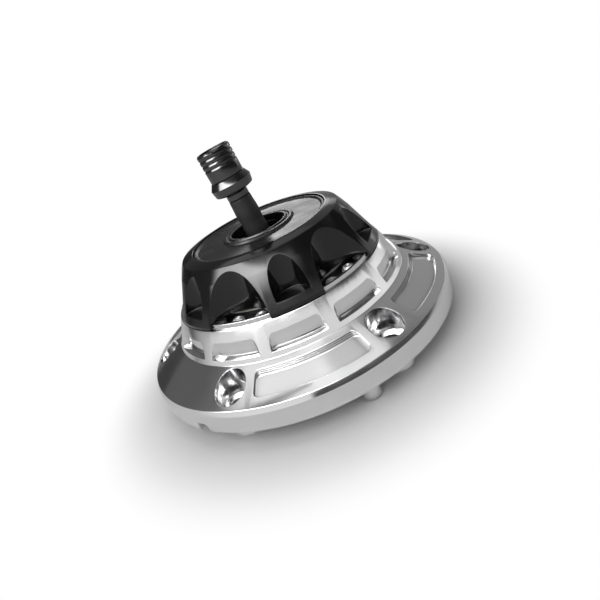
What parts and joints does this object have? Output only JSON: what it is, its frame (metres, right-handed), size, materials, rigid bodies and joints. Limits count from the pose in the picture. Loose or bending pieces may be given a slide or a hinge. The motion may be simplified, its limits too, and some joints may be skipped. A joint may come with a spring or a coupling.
{
  "type": "fuel tank filler cap",
  "caption": "Round bolt-on fuel filler with a pocketed bright collar, a black scalloped screw cap and a vent valve standing on a short hose.",
  "frame": {"origin": "on the cap's axis, in the plane of the dowels' ends, 2.4 mm past the flange's feet", "axes": "+Z along the cap's axis, away from the tank; -Y towards the viewer of the picture"},
  "size_m": [0.13, 0.13, 0.0882],
  "materials": {
    "flange_silver": "bright machined aluminium with a fine satin polish",
    "dowel_silver": "turned aluminium",
    "insert_black": "black anodised, satin",
    "screw_steel": "polished stainless button heads",
    "seal_rubber": "fuel-resistant black rubber",
    "washer_nylon": "natural nylon",
    "cap_black": "gloss black anodised",
    "plug_black": "black anodised, satin",
    "disc_black": "black anodised with fine turning marks",
    "fitting_black": "black anodised",
    "hose_rubber": "matt extruded rubber",
    "valve_black": "gloss black anodised",
    "ball_steel": "ground steel ball"
  },
  "bodies": {
    "flange": {"flange_ring": "flange_silver", "threaded_insert": "insert_black", "insert_seal": "seal_rubber", "locating_dowel_1": "dowel_silver", "locating_dowel_2": "dowel_silver", "locating_dowel_3": "dowel_silver", "ring_screw_01": "screw_steel", "ring_screw_02": "screw_steel", "ring_screw_03": "screw_steel", "ring_screw_04": "screw_steel", "ring_screw_05": "screw_steel", "ring_screw_06": "screw_steel", "ring_screw_07": "screw_steel", "ring_screw_08": "screw_steel", "ring_screw_09": "screw_steel", "ring_screw_10": "screw_steel", "ring_screw_11": "screw_steel", "ring_screw_12": "screw_steel", "ring_screw_13": "screw_steel", "ring_screw_14": "screw_steel", "ring_screw_15": "screw_steel", "ring_screw_16": "screw_steel", "ring_screw_17": "screw_steel", "ring_screw_18": "screw_steel", "ring_screw_19": "screw_steel", "ring_screw_20": "screw_steel", "ring_screw_21": "screw_steel", "ring_screw_22": "screw_steel", "ring_screw_23": "screw_steel", "ring_screw_24": "screw_steel"},
    "seal": {"cap_seal": "seal_rubber", "slip_washer": "washer_nylon"},
    "cap": {"cap_shell": "cap_black", "cap_plug": "plug_black", "cover_disc": "disc_black", "vent_fitting": "fitting_black", "vent_hose": "hose_rubber", "valve_body": "valve_black", "valve_cap": "valve_black"},
    "ball": {"check_ball": "ball_steel"}
  },
  "joints": [
    {"name": "cap_lift", "type": "slide", "parent": "flange", "child": "seal", "axis": [0, 0, 1], "range_m": [0, 0.01201]},
    {"name": "cap_turn", "type": "hinge", "parent": "seal", "child": "cap", "pos_m": [0, 0, 0.038], "axis": [0, 0, 1], "range_deg": [0, 1080]},
    {"name": "ball_travel", "type": "slide", "parent": "cap", "child": "ball", "axis": [-0.0872, 0, 0.9962], "range_m": [0, 0.0048]}
  ],
  "couplings": [
    {"joint": "cap_lift", "follows": "cap_turn", "m_per_rad": 0.00063662}
  ]
}
